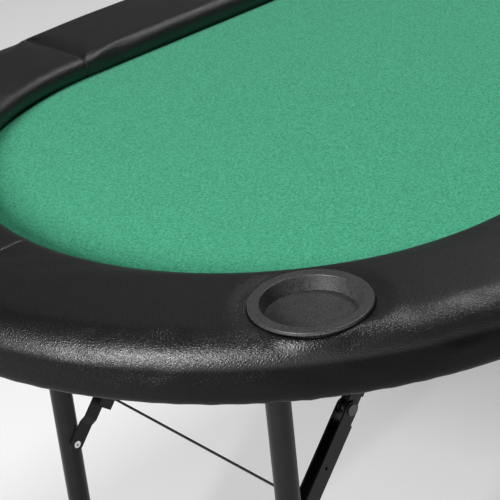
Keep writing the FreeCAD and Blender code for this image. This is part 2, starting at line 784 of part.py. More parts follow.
save(oval_plate(FELT_RADIUS, BOARD_TOP, FELT_TOP - FELT_THICKNESS), "felt_underlay")
save(oval_plate(FELT_RADIUS, FELT_TOP - FELT_THICKNESS, FELT_TOP), "felt_cloth")

for name, piece in rail_pieces(foam_section()).items():
    save(with_cup_pockets(piece, cups), "rail_foam_" + name)
for name, piece in rail_pieces(cover_section()).items():
    save(with_cup_pockets(piece, cups), "rail_cover_" + name)

for number, place in enumerate(cups, 1):
    save(cup_holder(place), "cup_holder_" + str(number))

save(staples(), "cover_staples")
save(group(screws_at(rail_places, FRAME_BOTTOM, RAIL_SCREW_LENGTH)), "rail_screws")
save(group(screws_at(bracket_places, BOARD_BOTTOM - BRACKET_THICKNESS, SCREW_LENGTH)), "bracket_screws")

for make, node in (
    (hinge_bracket, "hinge_brackets"),
    (brace_bracket, "brace_brackets"),
    (brace_pin, "brace_pins"),
):
    pieces = both(make)
    save(group(pieces + [at_end(piece, "right") for piece in pieces]), node)

# The two folding ends

for end in ("left", "right"):
    save(at_end(between_legs(LEG_RADIUS, hinge_point(0)), end), "hinge_tube_" + end)
    cross_place = Vector(HINGE_X, 0, CROSS_TUBE_HEIGHT)
    save(at_end(between_legs(CROSS_TUBE_RADIUS, cross_place), end), "cross_tube_" + end)
    save(at_end(group(both(leg_rivet)), end), "leg_rivets_" + end)
    save(at_end(group(both(brace_rivet)), end), "brace_rivets_" + end)
    save(at_end(group(both(knee_pin) + both(knee_sleeve)), end), "knee_pins_" + end)
    save(at_end(tie_rod(), end), "tie_rod_" + end)
    for side, here, turned in ((-1, "front", "back"), (1, "back", "front")):
        name = end + "_" + (here if end == "left" else turned)
        save(at_end(leg_tube(side), end), "leg_tube_" + name)
        save(at_end(foot_cap(side), end), "foot_cap_" + name)
        save(at_end(lower_link(side), end), "lower_link_" + name)
        save(at_end(upper_link(side), end), "upper_link_" + name)
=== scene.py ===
import math

import bmesh
import bpy
import numpy as np
from mathutils import Matrix, Vector


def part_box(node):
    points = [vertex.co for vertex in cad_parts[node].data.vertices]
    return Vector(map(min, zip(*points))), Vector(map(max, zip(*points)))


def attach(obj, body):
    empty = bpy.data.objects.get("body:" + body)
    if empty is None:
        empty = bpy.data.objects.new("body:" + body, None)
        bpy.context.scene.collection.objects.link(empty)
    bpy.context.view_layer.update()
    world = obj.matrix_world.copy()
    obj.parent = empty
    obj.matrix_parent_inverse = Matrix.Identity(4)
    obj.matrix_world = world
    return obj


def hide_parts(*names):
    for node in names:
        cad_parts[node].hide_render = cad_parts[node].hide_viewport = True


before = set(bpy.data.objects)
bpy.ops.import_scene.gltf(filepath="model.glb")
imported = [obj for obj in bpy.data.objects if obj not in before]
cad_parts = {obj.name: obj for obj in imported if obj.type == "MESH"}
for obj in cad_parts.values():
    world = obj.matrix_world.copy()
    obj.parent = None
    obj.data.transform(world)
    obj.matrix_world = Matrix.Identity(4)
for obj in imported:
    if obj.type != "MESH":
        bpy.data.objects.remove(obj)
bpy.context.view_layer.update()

# An oval poker table for eight players: felt on a board, a padded leather rail
# with eight cup holders, and two folding leg frames. Metres; the floor is
# z = 0, the long side runs along X and the front is the -Y side.

MM = 0.001

# Sizes that the CAD parts give
panel_low, panel_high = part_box("rail_cover_front")
HALF_STRAIGHT = panel_high.x
OUTER_RADIUS = -panel_low.y
CROWN_RADIUS = -panel_high.y
RAIL_TOP = panel_high.z
RAIL_BOTTOM = panel_low.z
FELT_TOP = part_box("felt_cloth")[1].z
FELT_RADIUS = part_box("felt_cloth")[1].y
UNDERLAY_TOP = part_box("felt_underlay")[1].z
BOARD_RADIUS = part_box("edge_frame")[1].y
RAIL_BOARD_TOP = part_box("rail_boards")[1].z
CUPS = [name for name in sorted(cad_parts) if name.startswith("cup_holder_")]

# The rail pad's section
INNER_ROUND = 13 * MM
OUTER_ROUND = 24 * MM
LOWER_ROUND = 8 * MM
RAIL_OVERHANG = 8 * MM
HEM_WIDTH = 32 * MM
HEM_THICKNESS = 1.0 * MM
PAD_CLEARANCE = 0.3 * MM
SKIN_STEP = 5 * MM
RING_STEP = 6.5 * MM
FOOT_RADIUS = CROWN_RADIUS + RAIL_OVERHANG
HEM_END = OUTER_RADIUS - LOWER_ROUND - HEM_WIDTH
HIDE_RADIUS = (CROWN_RADIUS + OUTER_RADIUS) / 2

# The cover reflects much less below a height than on its top: painted shade that darkens its outer
# side and inner slope
SHADED_SIDE_TOP = RAIL_TOP - 26 * MM
LIT_TOP_START = RAIL_TOP - 18 * MM
SHADED_SIDE_SHINE = 0.10
LIT_TOP_SHINE = 0.58

# The pebbles are longer than wide and lie slanted to the rail
PEBBLES_PER_METRE = 400
FINE_PEBBLES_PER_METRE = 960
GRAIN_SLANT = math.radians(-40)
GRAIN_STRETCH = 1.6
GRAIN_WANDER = 0.7 * MM
GRAIN_DEPTH = 0.26 * MM
CREASE_DEPTH = 0.5 * MM

# The felt's colours, from deep in the nap to its tips, and where it is rubbed
FELT_DEEP = (0.018, 0.196, 0.094, 1)
FELT_TIPS = (0.082, 0.462, 0.278, 1)
FELT_RUBBED = (0.045, 0.295, 0.163, 1)
FELT_SHEEN = (0.55, 0.85, 0.7, 1)

# How the cover is sewn and filled
SEAM_TUCK = 2.0 * MM
SEAM_ROUND = 5.0 * MM
SLACK = 0.4 * MM
FILL_CAP = 2.6 * MM
FILL_PRESSURE = 4.0
FILL_FRAMES = 20

# The section's points that the staples hold, and those next to them that give
HEM_POINTS = 8
EASE_POINTS = 4

# Where the section is drawn along a panel: close at a seam, then evenly
SEAM_RINGS = [0.0, 0.8 * MM, 2.0 * MM, 3.6 * MM, 6 * MM]
EVEN_START = 10 * MM

# The cover under and inside a cup holder
CUP_SEAT = 0.5 * MM
CUP_SEAT_REACH = 20 * MM
CUP_SEAT_LIFT = 0.6
CUP_LIFT_REACH = 9 * MM
CUP_RIM_OVERLAP = 1 * MM
POCKET_DEPTH = 14.5 * MM
POCKET_WALL = 7 * MM

# Gathers of the hem
GATHER_END = 2.6 * MM
GATHER_SIDE = 0.6 * MM
GATHER_PITCH = 19 * MM
GATHER_STRAY = 21 * MM
GATHER_SWELL = 47 * MM
GATHER_MIDDLE = OUTER_RADIUS - 11 * MM
GATHER_BREADTH = 7 * MM
GATHER_LEAST = 0.25
GATHER_CALM = 12 * MM

# Sewing, staples, screws and welds
STITCH_PITCH = 4.2 * MM
STITCH_LENGTH = 2.9 * MM
THREAD = 0.75 * MM
STAPLE_WIRE = 0.55 * MM
STAPLE_WIDTH = 10 * MM
STAPLE_LEG = 2.5 * MM
STAPLE_BEND = 1.1 * MM
SCREW_HEAD_RADIUS = 4.2 * MM
SCREW_HEAD_HEIGHT = 2.2 * MM
SCREW_SHANK_RADIUS = 2 * MM
WELD_PITCH = 1.5 * MM
WELD_SIZE = 1.35 * MM

# The felt: pressed down under the rail's foot, with faint slubs in its weave
FELT_RINGS = 40
FELT_STEPS = 80
FELT_PRESS = 0.5 * MM
FELT_SINK = 0.12 * MM
PRESS_START = 8 * MM
PRESS_RUN = 6 * MM
SLUB_HEIGHT = 0.1 * MM

# Points closer than this are one point
SAME_POINT = 0.01 * MM


# Shader maths


class Value:
    """A number that changes over a surface; an expression on it adds Math nodes."""

    def __init__(self, finish, socket):
        self.finish = finish
        self.socket = socket

    def __add__(self, other):
        return self.finish.math("ADD", self, other)

    def __sub__(self, other):
        return self.finish.math("SUBTRACT", self, other)

    def __rsub__(self, other):
        return self.finish.math("SUBTRACT", other, self)

    def __mul__(self, other):
        return self.finish.math("MULTIPLY", self, other)

    __radd__ = __add__
    __rmul__ = __mul__


class Finish:
    """A material and the tools to build its nodes."""

    def __init__(self, name):
        self.material = bpy.data.materials.new(name)
        self.material.use_nodes = True
        self.tree = self.material.node_tree
        self.tree.nodes.clear()

    def node(self, kind, settings=None, values=None):
        made = self.tree.nodes.new(kind)
        for name, setting in (settings or {}).items():
            setattr(made, name, setting)
        for name, value in (values or {}).items():
            if isinstance(value, Value):
                value = value.socket
            if isinstance(value, bpy.types.NodeSocket):
                self.tree.links.new(value, made.inputs[name])
            else:
                made.inputs[name].default_value = value
        return made

    def math(self, operation, first, second):
        made = self.node("ShaderNodeMath", {"operation": operation}, {0: first, 1: second})
        return Value(self, made.outputs[0])

    def on_object(self):
        return self.node("ShaderNodeTexCoord").outputs["Object"]

    def on_hide(self):
        return self.node("ShaderNodeUVMap", {"uv_map": "hide"}).outputs["UV"]

    def placed(self, where, scale, turn=0.0):
        """The coordinates stretched by scale and turned about Z."""
        made = self.node(
            "ShaderNodeMapping",
            values={"Vector": where, "Scale": scale, "Rotation": (0, 0, turn)},
        )
        return made.outputs["Vector"]

    def noise(self, where, scale, detail=2.0, roughness=0.5, distortion=0.0):
        made = self.node(
            "ShaderNodeTexNoise",
            values={
                "Vector": where,
                "Scale": scale,
                "Detail": detail,
                "Roughness": roughness,
                "Distortion": distortion,
            },
        )
        return Value(self, made.outputs["Fac"])

    def cells(self, where, scale, feature="F1", spread=1.0):
        values = {"Vector": where, "Scale": scale, "Randomness": spread}
        made = self.node("ShaderNodeTexVoronoi", {"feature": feature}, values)
        return Value(self, made.outputs["Distance"])

    def ramp(self, value, low, high, to_low=0.0, to_high=1.0):
        made = self.node(
            "ShaderNodeMapRange",
            {"interpolation_type": "SMOOTHSTEP"},
            {"Value": value, "From Min": low, "From Max": high, "To Min": to_low, "To Max": to_high},
        )
        return Value(self, made.outputs["Result"])

    def blend(self, amount, first, second):
        made = self.node("ShaderNodeMix", {"data_type": "RGBA"}, {"Factor": amount})
        for socket, colour in ((made.inputs[6], first), (made.inputs[7], second)):
            if isinstance(colour, bpy.types.NodeSocket):
                self.tree.links.new(colour, socket)
            else:
                socket.default_value = colour
        return made.outputs[2]

    def bump(self, height, depth, normal=None, strength=1.0):
        values = {"Height": height, "Distance": depth, "Strength": strength}
        if normal is not None:
            values["Normal"] = normal
        return self.node("ShaderNodeBump", values=values).outputs["Normal"]

    def height(self):
        """The height above the floor, in metres, of a piece that never moves."""
        split = self.node("ShaderNodeSeparateXYZ", values={"Vector": self.on_object()})
        return Value(self, split.outputs["Z"])

    def surface(self, **values):
        sockets = {name.replace("_", " "): value for name, value in values.items()}
        return self.node("ShaderNodeBsdfPrincipled", values=sockets).outputs["BSDF"]

    def output(self, surface):
        self.node("ShaderNodeOutputMaterial", values={"Surface": surface})
        return self.material

    def shade(self, **values):
        return self.output(self.surface(**values))


def grey(level, warmth=0.0):
    return (level * (1 + warmth), level, level * (1 - warmth), 1.0)


# Finishes. A pattern's scale is its repeats in a metre.


def pebbled_leather():
    """Black coated leather with a fine slanted pebble grain, with painted shade in the grain's creases
    and down the rail's sides.
    """
    finish = Finish("pebbled_leather")
    hide = finish.on_hide()
    turned = finish.placed(hide, (1.0, 1.0, 1.0), GRAIN_SLANT)
    slanted = finish.placed(turned, (1.0, GRAIN_STRETCH, 1.0))
    drift = finish.noise(slanted, 160, 2.0)
    warp = finish.node(
        "ShaderNodeVectorMath",
        {"operation": "MULTIPLY_ADD"},
        {0: drift.socket, 1: (GRAIN_WANDER, GRAIN_WANDER, 0.0), 2: slanted},
    ).outputs["Vector"]
    pebbles = finish.ramp(finish.cells(warp, PEBBLES_PER_METRE, "DISTANCE_TO_EDGE", 0.7), 0.0, 0.34)
    small = finish.ramp(finish.cells(warp, FINE_PEBBLES_PER_METRE, "DISTANCE_TO_EDGE"), 0.0, 0.3)
    creases = finish.noise(hide, 34, 4.0, 0.55)
    grain = pebbles * 0.8 + small * 0.2
    # Painted shade: the grain's creases get a darker colour than its pebble tops
    tone = finish.blend(grain, grey(0.0025), grey(0.0042, 0.01))
    worn = finish.ramp(finish.noise(hide, 9, 3.0), 0.35, 0.75)
    roughness = 0.39 + worn * 0.04 - grain * 0.10
    coarse = finish.bump(creases, CREASE_DEPTH, strength=0.12)
    normal = finish.bump(grain, GRAIN_DEPTH, coarse, strength=0.75)
    shaded_side_leather = finish.surface(
        Base_Color=tone, Roughness=roughness, Specular_IOR_Level=SHADED_SIDE_SHINE, Normal=normal
    )
    lit_top_leather = finish.surface(
        Base_Color=tone, Roughness=roughness, Specular_IOR_Level=LIT_TOP_SHINE, Normal=normal
    )
    # Painted shade: below these heights the leather's reflection is cut, so the rail's sides and inner
    # slope look shaded
    lit_top_share = finish.ramp(finish.height(), SHADED_SIDE_TOP, LIT_TOP_START)
    mixed = finish.node("ShaderNodeMixShader", values={0: lit_top_share, 1: shaded_side_leather, 2: lit_top_leather})
    return finish.output(mixed.outputs[0])


def green_felt():
    """Short-napped green felt: matted fibres, lighter tips and a soft sheen."""
    finish = Finish("napped_felt")
    where = finish.on_object()
    fibres = finish.noise(where, 430, 3.0, 0.75)
    one_way = finish.placed(where, (1.0, 3.2, 1.0), math.radians(38))
    other_way = finish.placed(where, (3.2, 1.0, 1.0), math.radians(31))
    stretched = finish.noise(one_way, 330, 2.0, 0.6)
    crossed = finish.noise(other_way, 330, 2.0, 0.6)
    patches = finish.noise(where, 7, 3.0)
    nap = fibres * 0.5 + stretched * 0.25 + crossed * 0.25
    speck = finish.ramp(nap, 0.36, 0.64)
    tone = finish.blend(speck, FELT_DEEP, FELT_TIPS)
    tone = finish.blend(finish.ramp(patches, 0.3, 0.7, 0.0, 0.10), tone, FELT_RUBBED)
    normal = finish.bump(nap, 0.9 * MM, strength=0.5)
    return finish.shade(
        Base_Color=tone,
        Roughness=0.95,
        Specular_IOR_Level=0.15,
        Sheen_Weight=0.12,
        Sheen_Roughness=0.5,
        Sheen_Tint=FELT_SHEEN,
        Normal=normal,
    )


def moulded_plastic():
    """Black plastic from a finely spark-eroded mould, with a faint sparkle."""
    finish = Finish("moulded_plastic")
    where = finish.on_object()
    fine = finish.noise(where, 720, 3.0, 0.75)
    pits = finish.ramp(finish.cells(where, 640), 0.1, 0.55)
    rub = finish.ramp(finish.noise(where, 30, 3.0), 0.4, 0.75)
    grit = fine * 0.6 + pits * 0.4
    tone = finish.blend(finish.ramp(grit, 0.42, 0.70), grey(0.008), grey(0.044))
    return finish.shade(
        Base_Color=tone,
        Roughness=0.40 + rub * 0.08 + grit * 0.06,
        Specular_IOR_Level=0.5,
        Normal=finish.bump(grit, 0.16 * MM, strength=0.5),
    )


def powder_coat(name, level, roughness):
    """Satin black powder coat: a slight orange peel, rubbed a little paler."""
    finish = Finish(name)
    where = finish.on_object()
    peel = finish.noise(where, 420, 2.0, 0.5)
    rub = finish.ramp(finish.noise(where, 26, 4.0, 0.6), 0.5, 0.8)
    scuffs = finish.ramp(finish.noise(finish.placed(where, (1, 1, 0.08)), 240, 2.0), 0.62, 0.8)
    tone = finish.blend(rub * 0.5 + scuffs * 0.3, grey(level), grey(level * 2.1))
    return finish.shade(
        Base_Color=tone,
        Roughness=roughness + rub * 0.06 + scuffs * 0.08,
        Specular_IOR_Level=0.2,
        Normal=finish.bump(peel, 0.12 * MM, strength=0.5),
    )


def plated_steel(name, level, roughness, warmth=0.0):
    """Bright or plated steel with fine turning marks and a cloudy polish."""
    finish = Finish(name)
    where = finish.on_object()
    cloud = finish.noise(where, 160, 3.0, 0.6)
    marks = finish.noise(finish.placed(where, (1, 0.1, 1)), 1900, 2.0)
    spots = finish.ramp(finish.noise(where, 420, 3.0, 0.7), 0.6, 0.75)
    tone = finish.blend(spots * 0.5 + cloud * 0.3, grey(level, warmth), grey(level * 0.62, warmth))
    return finish.shade(
        Base_Color=tone,
        Metallic=1.0,
        Roughness=roughness + cloud * 0.14 + spots * 0.1,
        Normal=finish.bump(marks, 0.05 * MM, strength=0.35),
    )


def foot_rubber():
    """Black moulded rubber, dusty in patches."""
    finish = Finish("moulded_rubber")
    where = finish.on_object()
    grit = finish.noise(where, 700, 3.0, 0.7)
    dust = finish.ramp(finish.noise(where, 60, 4.0, 0.6), 0.5, 0.8)
    tone = finish.blend(dust * 0.6, grey(0.014), grey(0.04, 0.03))
    return finish.shade(
        Base_Color=tone,
        Roughness=0.72 + dust * 0.15,
        Specular_IOR_Level=0.35,
        Normal=finish.bump(grit, 0.2 * MM, strength=0.5),
    )


def painted_board():
    """Pressed wood board under thin black paint, its fibres showing through."""
    finish = Finish("painted_board")
    where = finish.on_object()
    flakes = finish.cells(finish.placed(where, (1.0, 0.35, 1.0), 0.4), 190)
    fibre = finish.noise(where, 480, 4.0, 0.7)
    cloud = finish.ramp(finish.noise(where, 5, 4.0, 0.6), 0.35, 0.7)
    relief = flakes * 0.5 + fibre * 0.5
    tone = finish.blend(cloud * 0.6 + fibre * 0.3, grey(0.013), grey(0.032, 0.04))
    return finish.shade(
        Base_Color=tone,
        Roughness=0.62 + cloud * 0.12,
        Specular_IOR_Level=0.4,
        Normal=finish.bump(relief, 0.3 * MM, strength=0.45),
    )


def bare_plywood():
    """Unpainted plywood with streaky grain and darker plies at its edges."""
    finish = Finish("bare_plywood")
    where = finish.on_object()
    streaks = finish.noise(finish.placed(where, (1.0, 14.0, 14.0)), 9, 5.0, 0.6, 0.6)
    plies = finish.noise(finish.placed(where, (0.02, 0.02, 1.0)), 420, 1.0)
    pores = finish.noise(finish.placed(where, (1.0, 9.0, 9.0)), 160, 3.0)
    tone = finish.blend(finish.ramp(streaks, 0.3, 0.7), (0.60, 0.43, 0.25, 1), (0.42, 0.27, 0.14, 1))
    tone = finish.blend(finish.ramp(plies, 0.5, 0.6, 0.0, 0.35), tone, (0.26, 0.15, 0.07, 1))
    return finish.shade(
        Base_Color=tone,
        Roughness=0.75 - pores * 0.1,
        Normal=finish.bump(pores, 0.25 * MM, strength=0.4),
    )


def open_foam():
    """Grey open-cell foam."""
    finish = Finish("open_foam")
    where = finish.on_object()
    bubbles = finish.cells(where, 900)
    cloud = finish.noise(where, 30, 3.0)
    tone = finish.blend(bubbles, grey(0.18), grey(0.34))
    return finish.shade(
        Base_Color=tone,
        Roughness=0.9 + cloud * 0.05,
        Specular_IOR_Level=0.2,
        Normal=finish.bump(bubbles, 0.5 * MM, strength=0.7),
    )


def sewing_thread():
    """Black twisted thread, paler along its twist."""
    finish = Finish("sewing_thread")
    where = finish.on_object()
    twist = finish.noise(finish.placed(where, (1.0, 1.0, 0.4), 0.6), 2600, 1.0)
    tone = finish.blend(twist, grey(0.012), grey(0.055))
    return finish.shade(
        Base_Color=tone,
        Roughness=0.5 + twist * 0.15,
        Normal=finish.bump(twist, 0.12 * MM, strength=0.6),
    )


FINISHES = {
    "rail_leather": pebbled_leather(),
    "green_felt": green_felt(),
    "cup_plastic": moulded_plastic(),
    "leg_paint": powder_coat("leg_powder_coat", 0.0045, 0.34),
    "brace_paint": powder_coat("brace_powder_coat", 0.0042, 0.36),
    "rivet_steel": plated_steel("bright_rivet", 0.72, 0.18),
    "zinc_steel": plated_steel("zinc_plate", 0.55, 0.30, 0.03),
    "pin_steel": plated_steel("blackened_pin", 0.09, 0.32),
    "foot_rubber": foot_rubber(),
    "black_board": painted_board(),
    "plywood": bare_plywood(),
    "foam": open_foam(),
    "seam_thread": sewing_thread(),
}


# Making and joining pieces


def piece_from(name, points, faces=(), edges=()):
    """An object at the origin whose mesh holds the points as they are."""
    mesh = bpy.data.meshes.new(name)
    mesh.from_pydata([tuple(point) for point in points], list(edges), [tuple(face) for face in faces])
    made = bpy.data.objects.new(name, mesh)
    bpy.context.scene.collection.objects.link(made)
    return made


def ring_faces(rings, around):
    """Quads between closed rings of points, from the first ring to the last."""
    faces = []
    for ring in range(rings - 1):
        here = ring * around
        for step in range(around):
            after = (step + 1) % around
            faces.append((here + step, here + after, here + around + after, here + around + step))
    return faces


def turn_outward(mesh, merge=0.0):
    """Joins points closer than a distance, then faces every face outward."""
    work = bmesh.new()
    work.from_mesh(mesh)
    if merge:
        bmesh.ops.remove_doubles(work, verts=work.verts, dist=merge)
    bmesh.ops.recalc_face_normals(work, faces=work.faces)
    work.to_mesh(mesh)
    work.free()


def made_plain(made, name):
    """The piece with its modifiers built in, as a new mesh at the origin."""
    graph = bpy.context.evaluated_depsgraph_get()
    graph.update()
    mesh = bpy.data.meshes.new_from_object(made.evaluated_get(graph))
    bpy.data.meshes.remove(made.data)
    mesh.name = name
    plain = bpy.data.objects.new(name, mesh)
    bpy.context.scene.collection.objects.link(plain)
    return plain


def dress(piece, slot, finish=None, smooth=True):
    """Gives a piece, as its only material, the finish named by its slot, or another finish."""
    piece.data.materials.clear()
    piece.data.materials.append(FINISHES[finish or slot])
    if smooth:
        piece.data.shade_smooth()


class Pattern:
    """A Geometry Nodes tree with named sizes, for pieces that repeat."""

    def __init__(self, name, sizes):
        self.tree = bpy.data.node_groups.new(name, "GeometryNodeTree")
        self.sizes = {}
        face = self.tree.interface
        face.new_socket("Geometry", in_out="INPUT", socket_type="NodeSocketGeometry")
        for size, kind in sizes.items():
            socket = face.new_socket(size, in_out="INPUT", socket_type="NodeSocket" + kind)
            self.sizes[size] = socket.identifier
        face.new_socket("Geometry", in_out="OUTPUT", socket_type="NodeSocketGeometry")
        self.given = self.tree.nodes.new("NodeGroupInput").outputs

    def node(self, kind, settings=None, values=None):
        made = self.tree.nodes.new(kind)
        for name, setting in (settings or {}).items():
            setattr(made, name, setting)
        for name, value in (values or {}).items():
            if isinstance(value, bpy.types.NodeSocket):
                self.tree.links.new(value, made.inputs[name])
            else:
                made.inputs[name].default_value = value
        return made

    def finish(self, instances):
        real = self.node("GeometryNodeRealizeInstances", values={"Geometry": instances})
        coated = self.node(
            "GeometryNodeSetMaterial",
            values={"Geometry": real.outputs["Geometry"], "Material": self.given["Finish"]},
        )
        out = self.tree.nodes.new("NodeGroupOutput")
        self.tree.links.new(coated.outputs["Geometry"], out.inputs[0])

    def run(self, path, name, **sizes):
        """The pattern made along a path, as a plain mesh."""
        modifier = path.modifiers.new(name, "NODES")
        modifier.node_group = self.tree
        for size, value in sizes.items():
            modifier[self.sizes[size]] = value
        return made_plain(path, name)


def beads_pattern(name):
    """Long round beads along a path: stitches laid end to end, or a weld."""
    pattern = Pattern(
        name,
        {
            "Pitch": "Float",
            "Length": "Float",
            "Thickness": "Float",
            "Uneven": "Float",
            "Finish": "Material",
        },
    )
    given = pattern.given
    line = pattern.node("GeometryNodeMeshToCurve", values={"Mesh": given["Geometry"]})
    spaced = pattern.node(
        "GeometryNodeResampleCurve",
        {"mode": "LENGTH"},
        {"Curve": line.outputs[0], "Length": given["Pitch"]},
    )
    ball = pattern.node("GeometryNodeMeshUVSphere", values={"Segments": 8, "Rings": 6, "Radius": 0.5})
    along = pattern.node("GeometryNodeInputTangent")
    turned = pattern.node(
        "FunctionNodeAlignRotationToVector",
        {"axis": "X"},
        {"Vector": along.outputs[0]},
    )
    size = pattern.node(
        "ShaderNodeCombineXYZ",
        values={"X": given["Length"], "Y": given["Thickness"], "Z": given["Thickness"]},
    )
    least = pattern.node("ShaderNodeMath", {"operation": "SUBTRACT"}, {0: 1.0, 1: given["Uneven"]})
    most = pattern.node("ShaderNodeMath", {"operation": "ADD"}, {0: 1.0, 1: given["Uneven"]})
    chance = pattern.node(
        "FunctionNodeRandomValue",
        {"data_type": "FLOAT"},
        {2: least.outputs[0], 3: most.outputs[0], "Seed": 7},
    )
    uneven = pattern.node(
        "ShaderNodeVectorMath",
        {"operation": "SCALE"},
        {0: size.outputs[0], "Scale": chance.outputs[1]},
    )
    placed = pattern.node(
        "GeometryNodeInstanceOnPoints",
        values={
            "Points": spaced.outputs[0],
            "Instance": ball.outputs["Mesh"],
            "Rotation": turned.outputs[0],
            "Scale": uneven.outputs[0],
        },
    )
    pattern.finish(placed.outputs[0])
    return pattern


def fixings_pattern(name):
    """One small fixing set at each point, turned by its own angle."""
    pattern = Pattern(name, {"Fixing": "Object", "Finish": "Material"})
    given = pattern.given
    shape = pattern.node("GeometryNodeObjectInfo", values={"Object": given["Fixing"]})
    turn = pattern.node("GeometryNodeInputNamedAttribute", {"data_type": "FLOAT"}, {"Name": "turn"})
    spin = pattern.node("ShaderNodeCombineXYZ", values={"Z": turn.outputs[0]})
    rotation = pattern.node("FunctionNodeEulerToRotation", values={"Euler": spin.outputs[0]})
    placed = pattern.node(
        "GeometryNodeInstanceOnPoints",
        values={
            "Points": given["Geometry"],
            "Instance": shape.outputs["Geometry"],
            "Rotation": rotation.outputs[0],
        },
    )
    pattern.finish(placed.outputs[0])
    return pattern


def centres_of(node, apart):
    """The middle of each loose piece of a CAD node that holds several."""
    spots = []
    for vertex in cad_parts[node].data.vertices:
        place = Vector(vertex.co[:2])
        for spot in spots:
            if (spot[0] - place).length < apart:
                spot[1].append(place)
                break
        else:
            spots.append((place, [place]))
    return [sum(places, Vector((0, 0))) / len(places) for _, places in spots]


# The rail pads


def arc(centre, radius, start, end):
    """Points round a corner of the section, from one angle to another."""
    angles = np.radians(np.linspace(start, end, 25))
    return [(centre[0] + radius * math.cos(a), centre[1] + radius * math.sin(a)) for a in angles]


def evenly(points, step):
    """The line through points, as points about a step apart."""
    points = np.array(points)
    lengths = np.linalg.norm(np.diff(points, axis=0), axis=1)
    along = np.concatenate([[0], np.cumsum(lengths)])
    count = round(along[-1] / step)
    wanted = np.linspace(0, along[-1], count + 1)
    return np.stack([np.interp(wanted, along, points[:, k]) for k in (0, 1)], axis=1)


def skin_line():
    """The cover's section: its foot on the felt, the crown, the side, the hem.
    Each point is a distance from the oval's middle line and a height."""
    inner = (CROWN_RADIUS + INNER_ROUND, RAIL_TOP - INNER_ROUND)
    outer = (OUTER_RADIUS - OUTER_ROUND, RAIL_TOP - OUTER_ROUND)
    lower = (OUTER_RADIUS - LOWER_ROUND, RAIL_BOTTOM + LOWER_ROUND)
    across = FOOT_RADIUS - inner[0]
    down = FELT_TOP - inner[1]
    lean = math.degrees(math.acos(INNER_ROUND / math.hypot(across, down)))
    tangent = math.degrees(math.atan2(down, across)) % 360 - lean
    line = [(FOOT_RADIUS, FELT_TOP)]
    line += arc(inner, INNER_ROUND, tangent, 90)
    line += arc(outer, OUTER_ROUND, 90, 0)
    line += arc(lower, LOWER_ROUND, 0, -90)
    line += [(HEM_END, RAIL_BOTTOM)]
    return evenly(line, SKIN_STEP)


def back_line():
    """The pad's hidden side, close round the boards and the felt's edge."""
    hem_top = RAIL_BOTTOM + HEM_THICKNESS
    board_side = BOARD_RADIUS + PAD_CLEARANCE
    board_top = RAIL_BOARD_TOP + PAD_CLEARANCE
    felt_side = FELT_RADIUS + PAD_CLEARANCE
    return np.array(
        [
            (HEM_END, hem_top),
            (board_side, hem_top),
            (board_side, board_top),
            (felt_side, board_top),
            (felt_side, FELT_TOP + PAD_CLEARANCE),
        ]
    )


SKIN = skin_line()
BACK = back_line()


def outward(line):
    """The way out of the skin at each of its points."""
    run = np.gradient(line, axis=0)
    run /= np.linalg.norm(run, axis=1)[:, None]
    return np.stack([-run[:, 1], run[:, 0]], axis=1)


def panel_rings(length):
    """Distances along a panel where its section is drawn, closer at its seams."""
    count = round((length - 2 * EVEN_START) / RING_STEP)
    middle = list(np.linspace(EVEN_START, length - EVEN_START, count + 1))
    return np.array(SEAM_RINGS + middle + [length - d for d in reversed(SEAM_RINGS)])


class Panel:
    """One sewn piece of the rail, round a quarter of an end or along a side."""

    def __init__(self, name, middle, start, turn):
        self.name = name
        self.middle = middle
        self.start = start
        self.turn = turn
        self.length = math.radians(turn) * HIDE_RADIUS if turn else 2 * HALF_STRAIGHT

    def ring(self, distance):
        """The point on the oval's middle line, and the direction, of a ring."""
        if self.turn:
            angle = math.radians(self.start) + distance / HIDE_RADIUS
            return Vector((self.middle, 0)), Vector((math.cos(angle), math.sin(angle)))
        facing = 1 if self.start > 0 else -1
        return Vector((-facing * (distance - HALF_STRAIGHT), 0)), Vector((0, facing))


PANELS = [
    Panel("front", 0, -90, 0),
    Panel("right_front", HALF_STRAIGHT, -90, 90),
    Panel("right_back", HALF_STRAIGHT, 0, 90),
    Panel("back", 0, 90, 0),
    Panel("left_back", -HALF_STRAIGHT, 90, 90),
    Panel("left_front", -HALF_STRAIGHT, 180, 90),
]


def gather(distance, shift):
    """How far a fold of the gathered hem hangs at a distance along it, 0 to 1."""
    wave = 2 * math.pi * distance / GATHER_PITCH + 1.9 * math.sin(distance / GATHER_STRAY + shift)
    fold = max(0.0, math.sin(wave + shift)) ** 1.4
    return fold * (0.62 + 0.38 * math.sin(distance / GATHER_SWELL + 2 * shift))


def slack_section(distance, panel, shift):
    """The panel's section before it is filled: a little small, drawn in at the
    seams, its hem hanging in gathers."""
    to_seam = min(distance, panel.length - distance)
    tuck = 0.0
    if to_seam < SEAM_ROUND:
        share = 1 - to_seam / SEAM_ROUND
        tuck = SEAM_TUCK * (1 - math.sqrt(1 - share * share))
    step = np.arange(len(SKIN))
    last = len(SKIN) - 1
    loose = np.clip(step / EASE_POINTS, 0, 1)
    loose *= np.clip((last - HEM_POINTS - step) / EASE_POINTS, 0, 1)
    sewn = np.clip(step / 2, 0, 1)
    line = SKIN - outward(SKIN) * (SLACK * loose + tuck * sewn)[:, None]
    depth = GATHER_END if panel.turn else GATHER_SIDE
    under = SKIN[:, 1] < RAIL_BOTTOM + LOWER_ROUND * 0.45
    hang = np.exp(-(((SKIN[:, 0] - GATHER_MIDDLE) / GATHER_BREADTH) ** 2)) + GATHER_LEAST
    quiet = min(1.0, to_seam / GATHER_CALM)
    line[:, 1] -= np.where(under, hang, 0) * depth * gather(distance, shift) * quiet
    return line


